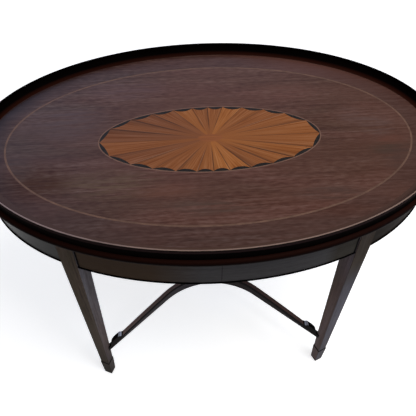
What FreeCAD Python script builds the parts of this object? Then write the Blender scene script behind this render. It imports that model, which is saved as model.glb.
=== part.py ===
import FreeCAD, Part
import math
import os

# Oval tray-top occasional table. Millimetres, +Z up, +X along the length, +Y to the back.
# The origin is on the floor under the middle of the top.

V = FreeCAD.Vector
UP = V(0, 0, 1)

# Tray top
surface_height = 615.5
rim_length = 900.0
rim_depth = 547.0
rim_height = 18.5
rim_edge_width = 3.0
rim_edge_round = 1.0
rim_foot_width = 18.9
rim_foot_step = 0.8
rim_skirt = 8.0
bead_height = 13.0
bead_projection = 7.9
bead_seat = 6.0
veneer_thickness = 1.2

# Inlay let into the top
border_end_width = 39.0
border_side_width = 42.5
string_width = 3.6
fan_length = 431.0
fan_depth = 178.0
fan_string_width = 2.4
fan_scallop_depth = 7.0
fan_heart_length = 36.0
fan_heart_depth = 12.0
# Flute joints along half the fan, from its middle to its tip
fan_joint_shares = (0.0, 0.143, 0.325, 0.525, 0.715, 0.905, 1.0)

# Frieze
frieze_inset = 10.3
frieze_height = 81.0
frieze_veneer_thickness = 1.2
rail_thickness = 20.0
cockbead_height = 4.5
cockbead_projection = 2.0
cockbead_depth = 14.0
tenon_thickness = 8.0
tenon_setback = 6.0
tenon_shoulder = 9.0
tenon_length = 12.0

# Legs
leg_spread = 541.0
leg_width = 34.4
leg_proud = 2.5
ankle_width = 21.2
foot_height = 63.0
foot_top_width = 23.3
foot_collar = 2.2
foot_bottom_width = 19.6
arris = 0.8

# Stretchers
bar_underside = 114.0
bar_thickness = 9.0
bar_middle_height = 35.0
bar_end_height = 17.0
bow_apex = 23.0
bow_radius = 170.0
bow_pad_width = 46.0
hump_height = 11.0
hump_radius = 11.0
hump_crest = 11.0
hump_rise = 10.0
hump_gap = 5.0
hump_hollow_share = 0.35
tongue_height = 13.0
tongue_depth = 7.0
block_width = 40.0
block_height = 24.0
block_round = 4.0

# Bearers, glue blocks and screws
bearer_place = 150.0
bearer_width = 42.0
bearer_thickness = 20.0
bearer_lap = 9.0
bearer_lap_height = 9.0
glue_block_width = 18.0
glue_block_length = 46.0
glue_block_places = (-60.0, 60.0)
screw_diameter = 4.0
screw_head_diameter = 7.6
screw_head_depth = 2.4
screw_tip_share = 0.25
screw_slot_width = 0.9
screw_slot_depth = 0.8
top_screw_length = 32.0
top_screw_pitch = 130.0
block_screw_length = 26.0
block_screw_pitch = 22.0

overrun = 60.0
contact_gap = 0.001

# Levels and half sizes that several pieces share
rim_half_length = rim_length / 2
rim_half_depth = rim_depth / 2
ledge_height = surface_height - rim_skirt
board_underside = ledge_height - bead_height
frieze_bottom = board_underside - frieze_height
rail_bottom = frieze_bottom + cockbead_height
frieze_half_length = rim_half_length - frieze_inset
frieze_half_depth = rim_half_depth - frieze_inset
string_half_length = rim_half_length - rim_foot_width - border_end_width
string_half_depth = rim_half_depth - rim_foot_width - border_side_width
fan_half_length = fan_length / 2
fan_half_depth = fan_depth / 2
flute_reach = fan_half_length - fan_string_width
flute_rise = fan_half_depth - fan_string_width
veneer_underside = surface_height - veneer_thickness

CORNERS = {"front_left": (-1, -1), "front_right": (1, -1), "back_left": (-1, 1), "back_right": (1, 1)}
SIDES = {"front": (0, -1), "back": (0, 1), "left": (-1, 0), "right": (1, 0)}


# Ovals

def oval_edge(half_length, half_depth, height):
    return Part.Ellipse(V(0, 0, height), half_length, half_depth).toShape()


def oval_plate(half_length, half_depth, low, high):
    face = Part.Face(Part.Wire([oval_edge(half_length, half_depth, low)]))
    return face.extrude(V(0, 0, high - low))


def oval_ring(half_length, half_depth, inset, width, low, high):
    outer = oval_plate(half_length - inset, half_depth - inset, low, high)
    gone = inset + width
    inner = oval_plate(half_length - gone, half_depth - gone, low - overrun, high + overrun)
    return outer.cut(inner)


def oval_moulding(half_length, half_depth, edges):
    """Carry a closed section, drawn in the XZ plane at the right end, round an oval."""
    spine = Part.Wire([oval_edge(half_length, half_depth, edges[0].Vertexes[0].Z)])
    return spine.makePipeShell([Part.Wire(edges)], True, True)


def line(start, end):
    return Part.LineSegment(start, end).toShape()


def arc(start, middle, end):
    return Part.Arc(start, middle, end).toShape()


# Tray top

def gallery_rim():
    """Upright outside, rounded edge, hollow cove inside, and a foot in the board's rebate."""
    outer = rim_half_length
    top = surface_height + rim_height
    inner = outer - rim_foot_width
    cove_top = outer - rim_edge_width
    step_height = surface_height + rim_foot_step
    round_low = top - rim_edge_round
    bend = math.sqrt(0.5)
    cove_width = cove_top - inner
    cove_height = round_low - step_height
    foot_out = V(outer, 0, ledge_height)
    foot_in = V(inner, 0, ledge_height)
    step = V(inner, 0, step_height)
    cove_end = V(cove_top, 0, round_low)
    cove_middle = V(inner + cove_width * bend, 0, round_low - cove_height * bend)
    edge_out = V(outer, 0, round_low)
    edge_top = V((outer + cove_top) / 2, 0, top)
    edges = [
        line(foot_out, foot_in),
        line(foot_in, step),
        arc(step, cove_middle, cove_end),
        arc(cove_end, edge_top, edge_out),
        line(edge_out, foot_out),
    ]
    return oval_moulding(rim_half_length, rim_half_depth, edges)


def edge_bead():
    """Half-round nose with a flat back against the board."""
    radius = bead_height / 2
    back = rim_half_length - bead_seat
    spring = rim_half_length + bead_projection - radius
    back_low = V(back, 0, board_underside)
    back_high = V(back, 0, ledge_height)
    nose_high = V(spring, 0, ledge_height)
    nose = V(spring + radius, 0, board_underside + radius)
    nose_low = V(spring, 0, board_underside)
    edges = [
        line(back_low, back_high),
        line(back_high, nose_high),
        arc(nose_high, nose, nose_low),
        line(nose_low, back_low),
    ]
    return oval_moulding(rim_half_length, rim_half_depth, edges)


def top_panel(rim, bead):
    """Board with a rebate for the gallery, cut to fit the gallery and the bead."""
    low = oval_plate(rim_half_length, rim_half_depth, board_underside, ledge_height)
    high = oval_plate(rim_half_length - rim_edge_width, rim_half_depth - rim_edge_width,
                      ledge_height, veneer_underside)
    return largest(low.cut(bead)).fuse(largest(high.cut(rim))).removeSplitter()


def largest(shape):
    return max(shape.Solids, key=lambda solid: solid.Volume)


def smallest_radius_solid(shape):
    """The solid that reaches least far from the middle."""
    return min(shape.Solids, key=lambda solid: solid.BoundBox.XMax)


# Inlay

def border_veneer(rim):
    outer = oval_plate(rim_half_length - rim_edge_width, rim_half_depth - rim_edge_width,
                       veneer_underside, surface_height)
    inside = smallest_radius_solid(outer.cut(rim))
    return inside.cut(oval_plate(string_half_length, string_half_depth,
                                 veneer_underside - overrun, surface_height + overrun))


def stringing_line():
    return oval_ring(string_half_length, string_half_depth, 0, string_width, veneer_underside, surface_height)


def field_veneer():
    field = oval_plate(string_half_length - string_width, string_half_depth - string_width,
                       veneer_underside, surface_height)
    return field.cut(oval_plate(fan_half_length, fan_half_depth,
                                veneer_underside - overrun, surface_height + overrun))


def fan_string():
    return oval_ring(fan_half_length, fan_half_depth, 0, fan_string_width, veneer_underside, surface_height)


def oval_point(half_length, half_depth, share, side):
    """A point on the fan oval, at a share of its half length, on the back or front half."""
    return V(half_length * share, side * half_depth * math.sqrt(1 - share * share), veneer_underside)


def fan_joints():
    """Outer and inner ends of the flute joints, once round the fan from its right tip."""
    quarter = list(reversed(fan_joint_shares))
    half = quarter + [-share for share in fan_joint_shares[1:]]
    stations = [(share, 1) for share in half]
    stations += [(-share, -1) for share in half[1:-1]]
    joints = []
    for share, side in stations:
        outer = oval_point(flute_reach, flute_rise, share, side)
        inner = oval_point(fan_heart_length / 2, fan_heart_depth / 2, share, side)
        joints.append((outer, inner))
    return joints


def flute(near, far):
    """One wedge of the fan: its outer end is hollowed to an even depth below the oval."""
    heart = V(0, 0, veneer_underside)
    middle = (near[0] + far[0]) / 2
    span = far[0] - near[0]
    inward = V(-span.y, span.x, 0).normalize()
    oval_share = math.hypot(middle.x / flute_reach, middle.y / flute_rise)
    bulge = (heart - middle).dot(inward) * (1 / oval_share - 1)
    dip = middle + inward * (fan_scallop_depth - bulge)
    edges = [
        line(heart, near[1]),
        line(near[1], near[0]),
        arc(near[0], dip, far[0]),
        line(far[0], far[1]),
        line(far[1], heart),
    ]
    return Part.Face(Part.Wire(edges)).extrude(UP * veneer_thickness)


def fan_flutes():
    joints = fan_joints()
    count = len(joints)
    return [flute(joints[i], joints[(i + 1) % count]) for i in range(count)]


def fan_ground(flutes):
    plate = oval_plate(flute_reach, flute_rise, veneer_underside, surface_height)
    return plate.cut(flutes)


# Legs and frieze

def leg_place():
    """Where the right back leg's outer face meets the frieze, and the way that face looks."""
    across = leg_spread / 2
    share = across / frieze_half_length
    depth = frieze_half_depth * math.sqrt(1 - share * share)
    look = V(across / frieze_half_length ** 2, depth / frieze_half_depth ** 2, 0).normalize()
    centre = V(across, depth, 0) + look * (leg_proud - leg_width / 2)
    return centre, look


def leg_frame(corner):
    """Placement of a leg: its own X looks outwards."""
    centre, look = leg_place()
    place = V(centre.x * corner[0], centre.y * corner[1], 0)
    turn = math.degrees(math.atan2(look.y * corner[1], look.x * corner[0]))
    return FreeCAD.Placement(place, FreeCAD.Rotation(UP, turn))


def square_wire(width, height):
    half = width / 2
    flat = half - arris
    points = []
    for turn in range(4):
        rotation = FreeCAD.Rotation(UP, 90 * turn)
        points.append(rotation.multVec(V(half, -flat, height)))
        points.append(rotation.multVec(V(half, flat, height)))
    return Part.makePolygon(points + [points[0]])


def taper(low_width, low, high_width, high):
    return Part.makeLoft([square_wire(low_width, low), square_wire(high_width, high)], True, True)


def leg_blank():
    """Square head in the frieze, even taper, and a spade foot below a small collar."""
    collar_low = foot_height - foot_collar
    head = taper(leg_width, frieze_bottom, leg_width, board_underside)
    shaft = taper(ankle_width, foot_height, leg_width, frieze_bottom)
    collar = taper(foot_top_width, collar_low, ankle_width, foot_height)
    foot = taper(foot_bottom_width, 0, foot_top_width, collar_low)
    return head.fuse([shaft, collar, foot]).removeSplitter()


def leg_head_box(width):
    """The leg's head as a plain square column, narrowed sideways for the tenon bottoms."""
    half = leg_width / 2
    return Part.makeBox(leg_width, width, frieze_height, V(-half, -width / 2, frieze_bottom))


def placed(shape, placement):
    moved = shape.copy()
    moved.Placement = placement.multiply(moved.Placement)
    return moved


def by_side(solids):
    """Name the four solids of a cut ring by the side that they are on."""
    named = {}
    for side, way in SIDES.items():
        named[side] = max(solids, key=lambda solid: reach_along(solid, way))
    return named


def reach_along(solid, way):
    centre = solid.BoundBox.Center
    return centre.x * way[0] / frieze_half_length + centre.y * way[1] / frieze_half_depth


def frieze_ring(inset, width, low, high):
    return oval_ring(frieze_half_length, frieze_half_depth, inset, width, low, high)


def leg_heads():
    return [placed(leg_head_box(leg_width), leg_frame(corner)) for corner in CORNERS.values()]


def tenons():
    """Stub tenons on the rail ends, two to each leg."""
    low = rail_bottom + tenon_shoulder
    high = board_underside - tenon_shoulder
    ring = frieze_ring(frieze_veneer_thickness + tenon_setback, tenon_thickness, low, high)
    core = leg_width - 2 * tenon_length
    stubs = []
    for corner in CORNERS.values():
        frame = leg_frame(corner)
        head = placed(leg_head_box(leg_width), frame)
        middle = placed(leg_head_box(core), frame)
        stubs += ring.common(head).cut(middle).Solids
    return stubs


def touching(shape, others):
    return [other for other in others if shape.distToShape(other)[0] < contact_gap]


def rails(heads, stubs, laps):
    ring = frieze_ring(frieze_veneer_thickness, rail_thickness, rail_bottom, board_underside)
    blanks = by_side(ring.cut(heads).Solids)
    done = {}
    for side, blank in blanks.items():
        ends = touching(blank, stubs)
        done[side] = blank.fuse(ends).removeSplitter().cut(laps)
    return done


def frieze_veneers(heads):
    ring = frieze_ring(0, frieze_veneer_thickness, rail_bottom, board_underside)
    return by_side(ring.cut(heads).Solids)


def cockbeads(heads):
    """Bead under the rails, rounded in front."""
    radius = cockbead_height / 2
    spring = frieze_half_length + cockbead_projection - radius
    back = frieze_half_length - cockbead_depth
    back_low = V(back, 0, frieze_bottom)
    back_high = V(back, 0, rail_bottom)
    front_high = V(spring, 0, rail_bottom)
    nose = V(spring + radius, 0, frieze_bottom + radius)
    front_low = V(spring, 0, frieze_bottom)
    edges = [
        line(back_low, back_high),
        line(back_high, front_high),
        arc(front_high, nose, front_low),
        line(front_low, back_low),
    ]
    ring = oval_moulding(frieze_half_length, frieze_half_depth, edges)
    return by_side(ring.cut(heads).Solids)


def leg(corner, stubs, bars):
    blank = placed(leg_blank(), leg_frame(corner))
    return blank.cut(stubs).cut(bars)


# Stretchers

def leg_width_at(height):
    rise = (height - foot_height) / (frieze_bottom - foot_height)
    return ankle_width + (leg_width - ankle_width) * rise


def bow_end():
    """The inner corner of the right front leg at the bar's level, in plan."""
    frame = leg_frame(CORNERS["front_right"])
    half = leg_width_at(bar_underside + tongue_height / 2) / 2
    corner = frame.multVec(V(-half, -half, 0))
    return V(corner.x, corner.y, 0)


def bow_line():
    """Middle, tangent point and direction of the front bow's right half."""
    centre = V(0, -bow_apex - bow_radius, 0)
    end = bow_end()
    away = end - centre
    turn = math.atan2(away.y, away.x) + math.acos(bow_radius / away.Length)
    touch = centre + V(math.cos(turn), math.sin(turn), 0) * bow_radius
    along = (end - touch).normalize()
    return centre, touch, end, along


def bow_side(offset):
    """One edge of the bow in plan: left end, left tangent, middle, right tangent, right end."""
    centre, touch, end, along = bow_line()
    aside = V(-along.y, along.x, 0) * offset
    last = end + along * tongue_depth + aside
    bend = touch + aside
    middle = V(0, centre.y + bow_radius + offset, 0)
    return V(-last.x, last.y, 0), V(-bend.x, bend.y, 0), middle, bend, last


def bow_plan():
    """The bow from above, as one tall slab."""
    half = bar_thickness / 2
    near = bow_side(-half)
    far = bow_side(half)
    edges = [
        line(near[0], near[1]),
        arc(near[1], near[2], near[3]),
        line(near[3], near[4]),
        line(near[4], far[4]),
        line(far[4], far[3]),
        arc(far[3], far[2], far[1]),
        line(far[1], far[0]),
        line(far[0], near[0]),
    ]
    slab = Part.Face(Part.Wire(edges)).extrude(UP * (bar_underside + bar_middle_height + overrun))
    pad = Part.makeBox(bow_pad_width, overrun, bar_underside + bar_middle_height + 2 * overrun,
                       V(-bow_pad_width / 2, bow_pad(), -overrun))
    return slab.cut(pad)


def bow_pad():
    """Depth at which the back of the front bow is cut flat for the block."""
    far_radius = bow_radius + bar_thickness / 2
    drop = far_radius - math.sqrt(far_radius ** 2 - (bow_pad_width / 2) ** 2)
    return -bow_apex + bar_thickness / 2 - drop


def bow_front():
    """The bow from the front: level below, arched above, a knob with a round nose at each end."""
    _, _, end, along = bow_line()
    depth = -bow_apex - overrun
    last = end.x + tongue_depth
    nose = end.x - hump_gap * along.x
    ball = nose - hump_radius
    crest = ball - hump_crest * along.x
    start = crest - hump_rise * along.x
    middle_top = bar_underside + bar_middle_height
    end_top = bar_underside + bar_end_height
    peak = end_top + hump_height
    tongue_top = bar_underside + tongue_height
    hollow = (start + crest) / 2
    hollow_height = end_top + hump_height * hump_hollow_share

    def half(sign):
        return {
            "start": V(sign * start, depth, end_top),
            "hollow": V(sign * hollow, depth, hollow_height),
            "crest": V(sign * crest, depth, peak),
            "peak": V(sign * ball, depth, peak),
            "nose": V(sign * nose, depth, peak - hump_radius),
            "round": V(sign * (ball + hump_radius * math.sqrt(0.5)), depth,
                       peak - hump_radius * (1 - math.sqrt(0.5))),
            "neck": V(sign * nose, depth, tongue_top),
            "tip": V(sign * last, depth, tongue_top),
            "low": V(sign * last, depth, bar_underside),
        }

    left = half(-1)
    right = half(1)
    crown = V(0, depth, middle_top)
    edges = [
        line(left["low"], left["tip"]),
        line(left["tip"], left["neck"]),
        line(left["neck"], left["nose"]),
        arc(left["nose"], left["round"], left["peak"]),
        line(left["peak"], left["crest"]),
        arc(left["crest"], left["hollow"], left["start"]),
        arc(left["start"], crown, right["start"]),
        arc(right["start"], right["hollow"], right["crest"]),
        line(right["crest"], right["peak"]),
        arc(right["peak"], right["round"], right["nose"]),
        line(right["nose"], right["neck"]),
        line(right["neck"], right["tip"]),
        line(right["tip"], right["low"]),
        line(right["low"], left["low"]),
    ]
    return edges


def bow_bar():
    """The front bar: the plan slab kept only where the front outline covers it."""
    edges = bow_front()
    reach = 2 * rim_depth
    face = Part.Face(Part.Wire(edges))
    face.translate(V(0, -reach, 0))
    return bow_plan().common(face.extrude(V(0, 2 * reach, 0)))


def turned_back(shape):
    """The same piece on the other side of the table."""
    turned = shape.copy()
    turned.rotate(V(0, 0, 0), UP, 180)
    return turned


def block_middle():
    return bar_underside + bar_middle_height / 2


def stretcher_block():
    depth = -2 * bow_pad()
    low = block_middle() - block_height / 2
    block = Part.makeBox(block_width, depth, block_height, V(-block_width / 2, -depth / 2, low))
    edges = [edge for edge in block.Edges if is_level_cross(edge)]
    return block.makeFillet(block_round, edges)


def is_level_cross(edge):
    """True for the four long edges that run from bar to bar."""
    run = edge.Vertexes[1].Point - edge.Vertexes[0].Point
    return abs(run.y) > abs(run.x) + abs(run.z)


# Screws

def screw(length):
    """Slotted countersunk screw: its head is flush with Z = 0 and its point is up."""
    head = Part.makeCone(screw_head_diameter / 2, screw_diameter / 2, screw_head_depth)
    shank = Part.makeCylinder(screw_diameter / 2, length - screw_head_depth - screw_diameter,
                              V(0, 0, screw_head_depth))
    point = Part.makeCone(screw_diameter / 2, screw_diameter / 2 * screw_tip_share, screw_diameter,
                          V(0, 0, length - screw_diameter))
    return head.fuse([shank, point]).removeSplitter()


def slotted(body):
    slot = Part.makeBox(2 * screw_head_diameter, screw_slot_width, screw_slot_depth,
                        V(-screw_head_diameter, -screw_slot_width / 2, 0))
    return body.cut(slot)


def block_screw_frames():
    """Two screws through each bar into the block."""
    frames = []
    depth = -bow_apex - bar_thickness / 2
    inset = bow_radius - bar_thickness / 2
    for side in (0, 180):
        for way in (-1, 1):
            across = way * block_screw_pitch / 2
            hollow = inset - math.sqrt(inset ** 2 - across ** 2)
            face = depth - hollow + screw_slot_depth
            frame = FreeCAD.Placement(V(across, face, block_middle()), FreeCAD.Rotation(V(1, 0, 0), -90))
            turn = FreeCAD.Placement(V(0, 0, 0), FreeCAD.Rotation(UP, side))
            frames.append(turn.multiply(frame))
    return frames


def top_screw_frames():
    """Three screws up through each bearer into the board."""
    low = board_underside - bearer_thickness
    frames = []
    for across in (-bearer_place, bearer_place):
        for step in (-1, 0, 1):
            place = V(across, step * top_screw_pitch, low)
            frames.append(FreeCAD.Placement(place, FreeCAD.Rotation()))
    return frames


# Bearers and glue blocks

def rail_inner_plate(inset, low, high):
    gone = frieze_veneer_thickness + rail_thickness - inset
    return oval_plate(frieze_half_length - gone, frieze_half_depth - gone, low, high)


def bearer(across):
    """Batten with thin laps on top of the long rails."""
    low = board_underside - bearer_thickness
    lap_low = board_underside - bearer_lap_height
    corner = V(across - bearer_width / 2, -rim_half_depth, low)
    body = Part.makeBox(bearer_width, rim_depth, bearer_thickness, corner)
    thick = body.common(rail_inner_plate(0, low, board_underside))
    lap = body.common(rail_inner_plate(bearer_lap, lap_low, board_underside))
    return thick.fuse(lap).removeSplitter()


def glue_blocks():
    """Square blocks rubbed into the angle of the end rails and the board."""
    low = board_underside - glue_block_width
    inner = rail_inner_plate(0, low, board_underside)
    reach = frieze_half_length - frieze_veneer_thickness - rail_thickness
    blocks = []
    for way in (-1, 1):
        for place in glue_block_places:
            edge = reach * math.sqrt(1 - (place / frieze_half_depth) ** 2)
            middle = V(way * edge, place, low)
            corner = middle - V(glue_block_width, glue_block_length / 2, 0)
            box = Part.makeBox(2 * glue_block_width, glue_block_length, glue_block_width, corner)
            blocks.append(box.common(inner))
    return blocks


# All pieces

def build():
    pieces = {}
    rim = gallery_rim()
    bead = edge_bead()
    pieces["gallery_rim"] = rim
    pieces["edge_bead"] = bead
    pieces["border_veneer"] = border_veneer(rim)
    pieces["stringing_line"] = stringing_line()
    pieces["field_veneer"] = field_veneer()
    pieces["fan_string"] = fan_string()
    flutes = fan_flutes()
    pieces["fan_flutes"] = Part.makeCompound(flutes)
    pieces["fan_ground"] = fan_ground(flutes)

    heads = leg_heads()
    stubs = tenons()
    bearers = {"bearer_left": bearer(-bearer_place), "bearer_right": bearer(bearer_place)}
    for side, shape in rails(heads, stubs, list(bearers.values())).items():
        pieces["rail_" + side] = shape
    for side, shape in frieze_veneers(heads).items():
        pieces["frieze_veneer_" + side] = shape
    for side, shape in cockbeads(heads).items():
        pieces["cockbead_" + side] = shape

    front_bar = bow_bar()
    bars = [front_bar, turned_back(front_bar)]
    for name, corner in CORNERS.items():
        pieces["leg_" + name] = leg(corner, stubs, bars)

    block_screws = [placed(screw(block_screw_length), frame) for frame in block_screw_frames()]
    pieces["stretcher_front"] = bars[0].cut(block_screws)
    pieces["stretcher_back"] = bars[1].cut(block_screws)
    pieces["stretcher_block"] = stretcher_block().cut(block_screws)
    pieces["stretcher_screws"] = Part.makeCompound(
        [placed(slotted(screw(block_screw_length)), frame) for frame in block_screw_frames()])

    top_screws = [placed(screw(top_screw_length), frame) for frame in top_screw_frames()]
    pieces["top_panel"] = top_panel(rim, bead).cut(top_screws)
    for name, shape in bearers.items():
        pieces[name] = shape.cut(top_screws)
    pieces["top_screws"] = Part.makeCompound(
        [placed(slotted(screw(top_screw_length)), frame) for frame in top_screw_frames()])
    pieces["glue_blocks"] = Part.makeCompound(glue_blocks())
    return pieces


os.makedirs("parts", exist_ok=True)
for node, shape in build().items():
    shape.exportStep("parts/" + node + ".step")
    print(node, len(shape.Solids), "solids", round(shape.Volume), "mm3", "valid", shape.isValid())
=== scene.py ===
"""Oval tray-top table: polished veneers, shaded fan, dark gallery, studio and camera."""
import math

import bmesh
import bpy
from mathutils import Matrix, Vector


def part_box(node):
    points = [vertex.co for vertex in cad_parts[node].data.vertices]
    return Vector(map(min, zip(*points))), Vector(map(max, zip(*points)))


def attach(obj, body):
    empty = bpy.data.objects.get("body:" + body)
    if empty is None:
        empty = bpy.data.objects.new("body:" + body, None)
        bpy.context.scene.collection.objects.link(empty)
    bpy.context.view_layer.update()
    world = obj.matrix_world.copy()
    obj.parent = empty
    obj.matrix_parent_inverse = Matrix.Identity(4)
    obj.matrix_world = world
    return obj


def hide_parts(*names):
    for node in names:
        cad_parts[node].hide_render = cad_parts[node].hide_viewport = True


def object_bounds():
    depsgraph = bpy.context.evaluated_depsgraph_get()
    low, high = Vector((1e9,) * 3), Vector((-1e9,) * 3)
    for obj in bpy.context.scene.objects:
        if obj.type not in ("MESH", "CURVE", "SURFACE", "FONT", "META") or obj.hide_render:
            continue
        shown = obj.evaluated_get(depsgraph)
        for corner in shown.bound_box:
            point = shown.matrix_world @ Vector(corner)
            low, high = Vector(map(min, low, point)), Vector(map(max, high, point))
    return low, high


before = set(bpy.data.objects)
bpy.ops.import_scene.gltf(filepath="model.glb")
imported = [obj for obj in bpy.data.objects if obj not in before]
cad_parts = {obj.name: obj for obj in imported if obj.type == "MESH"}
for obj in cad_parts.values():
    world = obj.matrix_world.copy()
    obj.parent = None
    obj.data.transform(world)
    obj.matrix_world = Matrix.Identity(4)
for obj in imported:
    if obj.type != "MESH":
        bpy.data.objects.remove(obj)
cad_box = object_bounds()

# Levels and half sizes read from the frame, in metres
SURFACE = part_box("field_veneer")[1].z
RIM_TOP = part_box("gallery_rim")[1].z
RIM_HALF_SIZE = (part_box("gallery_rim")[1].x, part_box("gallery_rim")[1].y)
BEAD_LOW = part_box("edge_bead")[0].z
BEAD_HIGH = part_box("edge_bead")[1].z
FAN_HALF_SIZE = (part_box("fan_flutes")[1].x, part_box("fan_flutes")[1].y)
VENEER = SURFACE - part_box("fan_flutes")[0].z
FRIEZE_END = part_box("frieze_veneer_front")[1].x
BAR_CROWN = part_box("stretcher_front")[1].z

SIDES = ("front", "back", "left", "right")
CORNERS = ("front_left", "front_right", "back_left", "back_right")

# Ways that the grain can run: along x, upright, or level round the frame
LENGTHWISE = (True, False, False)
UPRIGHT = (False, False, True)
LEVEL = (True, True, False)

# Stops of colour ramps on a noise
TWO_STOPS = (0.3, 0.7)
THREE_STOPS = (0.32, 0.5, 0.68)
PLAIN = (1, 1, 1)


# Node helpers

def finish(name):
    material = bpy.data.materials.new(name)
    material.use_nodes = True
    tree = material.node_tree
    return material, tree, tree.nodes["Principled BSDF"]


def plug(tree, socket, value):
    """Link a socket, or set a plain number, vector or colour."""
    if isinstance(value, bpy.types.NodeSocket):
        tree.links.new(value, socket)
    elif socket.type == "RGBA" and len(value) == 3:
        socket.default_value = (*value, 1)
    else:
        socket.default_value = value


def add(tree, kind, inputs=None, **settings):
    made = tree.nodes.new(kind)
    for key, value in settings.items():
        setattr(made, key, value)
    for key, value in (inputs or {}).items():
        plug(tree, made.inputs[key], value)
    return made


def stretched(tree, scale):
    """Object coordinates, scaled so that a pattern runs along one way."""
    place = add(tree, "ShaderNodeTexCoord").outputs["Object"]
    return add(tree, "ShaderNodeMapping", {"Vector": place, "Scale": scale}).outputs["Vector"]


def coordinates(tree):
    place = add(tree, "ShaderNodeTexCoord").outputs["Object"]
    parts = add(tree, "ShaderNodeSeparateXYZ", {"Vector": place})
    return parts.outputs["X"], parts.outputs["Y"], parts.outputs["Z"]


def facing(tree, axis):
    """How squarely a surface looks along one axis of the table, below 0 where it looks back."""
    normal = add(tree, "ShaderNodeNewGeometry").outputs["Normal"]
    return add(tree, "ShaderNodeSeparateXYZ", {"Vector": normal}).outputs[axis]


def noise(tree, vector, scale=1.0, detail=3.0, rough=0.55, warp=0.0):
    made = add(tree, "ShaderNodeTexNoise", {"Vector": vector, "Scale": scale, "Detail": detail,
                                            "Roughness": rough, "Distortion": warp})
    return made.outputs["Fac"]


def ramp(tree, value, stops, tones):
    made = add(tree, "ShaderNodeValToRGB", {"Fac": value})
    elements = made.color_ramp.elements
    while len(elements) < len(stops):
        elements.new(0.5)
    for element, place, tone in zip(elements, stops, tones):
        element.position = place
        element.color = (*tone, 1)
    return made.outputs["Color"]


def level(tree, value, low, high, to_low=0.0, to_high=1.0):
    made = add(tree, "ShaderNodeMapRange", {"Value": value, "From Min": low, "From Max": high,
                                            "To Min": to_low, "To Max": to_high})
    return made.outputs["Result"]


def maths(tree, operation, first, second=0.0):
    made = add(tree, "ShaderNodeMath", {0: first, 1: second}, operation=operation)
    return made.outputs["Value"]


def times(tree, *values):
    product = values[0]
    for value in values[1:]:
        product = maths(tree, "MULTIPLY", product, value)
    return product


def apart(tree, value, place=0.0):
    """Distance of a coordinate from a place, either way."""
    return maths(tree, "ABSOLUTE", maths(tree, "SUBTRACT", value, place))


def mixed(tree, factor, first, second, blend="MIX"):
    made = add(tree, "ShaderNodeMix", data_type="RGBA", blend_type=blend)
    for index, value in ((0, factor), (6, first), (7, second)):
        plug(tree, made.inputs[index], value)
    return made.outputs[2]


def tinted(tree, colour, tint, factor=1.0):
    return mixed(tree, factor, colour, tint, "MULTIPLY")


def oval_radius(tree, half_size, middle=(0.0, 0.0)):
    """1 on an oval about a point of the table, less inside it."""
    x, y, _ = coordinates(tree)
    across = maths(tree, "DIVIDE", maths(tree, "SUBTRACT", x, middle[0]), half_size[0])
    deep = maths(tree, "DIVIDE", maths(tree, "SUBTRACT", y, middle[1]), half_size[1])
    squares = maths(tree, "ADD", times(tree, across, across), times(tree, deep, deep))
    return maths(tree, "SQRT", squares)


def paint(tree, shader, colour):
    plug(tree, shader.inputs["Base Color"], colour)


def polish(shader, roughness, specular):
    shader.inputs["Roughness"].default_value = roughness
    shader.inputs["Specular IOR Level"].default_value = specular


def bump(tree, shader, height, strength, distance):
    made = add(tree, "ShaderNodeBump", {"Height": height, "Strength": strength, "Distance": distance})
    plug(tree, shader.inputs["Normal"], made.outputs["Normal"])


def dress(material, *names):
    for name in names:
        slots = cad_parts[name].data.materials
        slots.clear()
        slots.append(material)


# Straight grain: changes of each pattern along the wood and across it, per metre
CLOUD_ALONG = 2.6
CLOUD_ACROSS = 11.0
BAND_RUN = (1.1, 62.0)
LINE_RUN = (6.0, 235.0)
FLECK_RUN = (62.0, 270.0)
CLEAR_RUN = (4.0, 14.0)
PORE_RUN = (45.0, 1500.0)

# How clear the grain is from place to place, and less so from left to right
CLEAR_SPREAD = (0.36, 0.60)
CLEAR_LEAST = 0.45
CLEAR_POLISH = (-0.30, 0.30)
CLEAR_RIGHT = 0.62

PORE_SPREAD = (0.60, 0.68)
PORE_STRENGTH = 0.3
PORE_TONE = (0.010, 0.005, 0.004)

# Rubbed polish: its noise, how far the roughness goes each way, strength and depth of the streaks
RUB_SCALE = 2.3
RUB_SPREAD = (0.3, 0.7)
RUB_SMOOTHER = 0.05
RUB_ROUGHER = 0.06
GRAIN_RELIEF = (0.06, 0.0004)


def straight_grain(tree, tones, streaks, along, cloud_across):
    """Broad tone, then long bands, streaks, short flecks and dark pores, all along one way."""
    def runs(lengthwise, across):
        return stretched(tree, tuple(lengthwise if way else across for way in along))

    cloud = runs(CLOUD_ALONG, cloud_across)
    colour = ramp(tree, noise(tree, cloud, detail=2.0, warp=0.6), THREE_STOPS, tones)
    bands = noise(tree, runs(*BAND_RUN), detail=3.0, warp=0.2)
    lines = noise(tree, runs(*LINE_RUN), detail=2.0, rough=0.5)
    flecks = noise(tree, runs(*FLECK_RUN), detail=1.0)
    uneven_polish = noise(tree, runs(*CLEAR_RUN), detail=2.0)
    clearness = times(tree, level(tree, uneven_polish, *CLEAR_SPREAD, CLEAR_LEAST, 1.0),
                      level(tree, coordinates(tree)[0], *CLEAR_POLISH, 1.0, CLEAR_RIGHT))
    for grain, (dark, pale) in zip((bands, lines, flecks), streaks):
        colour = tinted(tree, colour, ramp(tree, grain, THREE_STOPS, (dark, PLAIN, pale)), clearness)
    pores = level(tree, noise(tree, runs(*PORE_RUN), detail=2.0), *PORE_SPREAD)
    colour = mixed(tree, times(tree, pores, PORE_STRENGTH), colour, PORE_TONE)
    return colour, lines, cloud


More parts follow.
